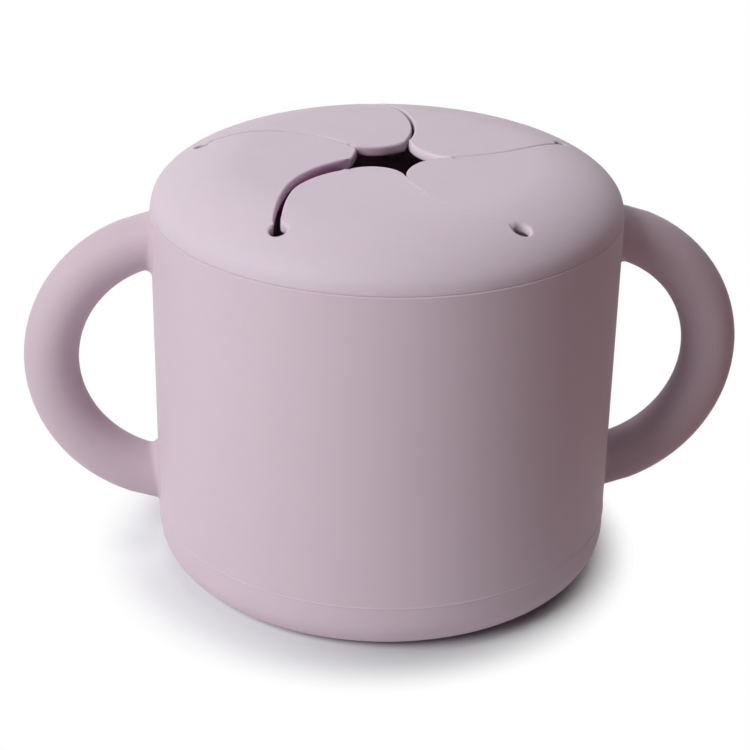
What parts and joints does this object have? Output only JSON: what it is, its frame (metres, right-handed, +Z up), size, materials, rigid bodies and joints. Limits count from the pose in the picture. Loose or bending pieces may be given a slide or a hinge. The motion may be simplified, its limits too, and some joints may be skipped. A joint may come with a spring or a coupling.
{
  "type": "toddler snack container",
  "caption": "Soft rubber snack cup with two ring handles and a stretch-on lid whose curved flaps let a small hand reach in and spring back.",
  "frame": {"origin": "on the resting surface, where the cup's own axis meets the underside", "axes": "+Z up along the cup's axis; X along the line through the two handles, +X to the viewer's right; the front faces -Y"},
  "size_m": [0.1406, 0.0902, 0.0817],
  "materials": {
    "cup_rubber": "matte soft-touch moulded rubber, mauve",
    "handle_rubber": "matte soft-touch moulded rubber, mauve",
    "lid_rubber": "matte soft-touch moulded rubber, mauve"
  },
  "bodies": {
    "cup": {"cup_shell": "cup_rubber", "handle_left": "handle_rubber", "handle_right": "handle_rubber"},
    "lid": {"lid_ring": "lid_rubber"},
    "front_flap": {"flap_front": "lid_rubber"},
    "right_front_flap": {"flap_right_front": "lid_rubber"},
    "right_back_flap": {"flap_right_back": "lid_rubber"},
    "left_back_flap": {"flap_left_back": "lid_rubber"},
    "left_front_flap": {"flap_left_front": "lid_rubber"}
  },
  "joints": [
    {"name": "lid_lift", "type": "slide", "parent": "cup", "child": "lid", "axis": [0, 0, 1], "range_m": [0, 0.04]},
    {"name": "front_flap_push", "type": "hinge", "parent": "lid", "child": "front_flap", "pos_m": [0, -0.02987, 0.08094], "axis": [-1, 0, 0], "range_deg": [-20, 45], "stiffness_Nm_per_rad": 0.02},
    {"name": "right_front_flap_push", "type": "hinge", "parent": "lid", "child": "right_front_flap", "pos_m": [0.02841, -0.00923, 0.08094], "axis": [-0.309, -0.9511, 0], "range_deg": [-20, 45], "stiffness_Nm_per_rad": 0.02},
    {"name": "right_back_flap_push", "type": "hinge", "parent": "lid", "child": "right_back_flap", "pos_m": [0.01756, 0.02417, 0.08094], "axis": [0.809, -0.5878, 0], "range_deg": [-20, 45], "stiffness_Nm_per_rad": 0.02},
    {"name": "left_back_flap_push", "type": "hinge", "parent": "lid", "child": "left_back_flap", "pos_m": [-0.01756, 0.02417, 0.08094], "axis": [0.809, 0.5878, 0], "range_deg": [-20, 45], "stiffness_Nm_per_rad": 0.02},
    {"name": "left_front_flap_push", "type": "hinge", "parent": "lid", "child": "left_front_flap", "pos_m": [-0.02841, -0.00923, 0.08094], "axis": [-0.309, 0.9511, 0], "range_deg": [-20, 45], "stiffness_Nm_per_rad": 0.02}
  ]
}
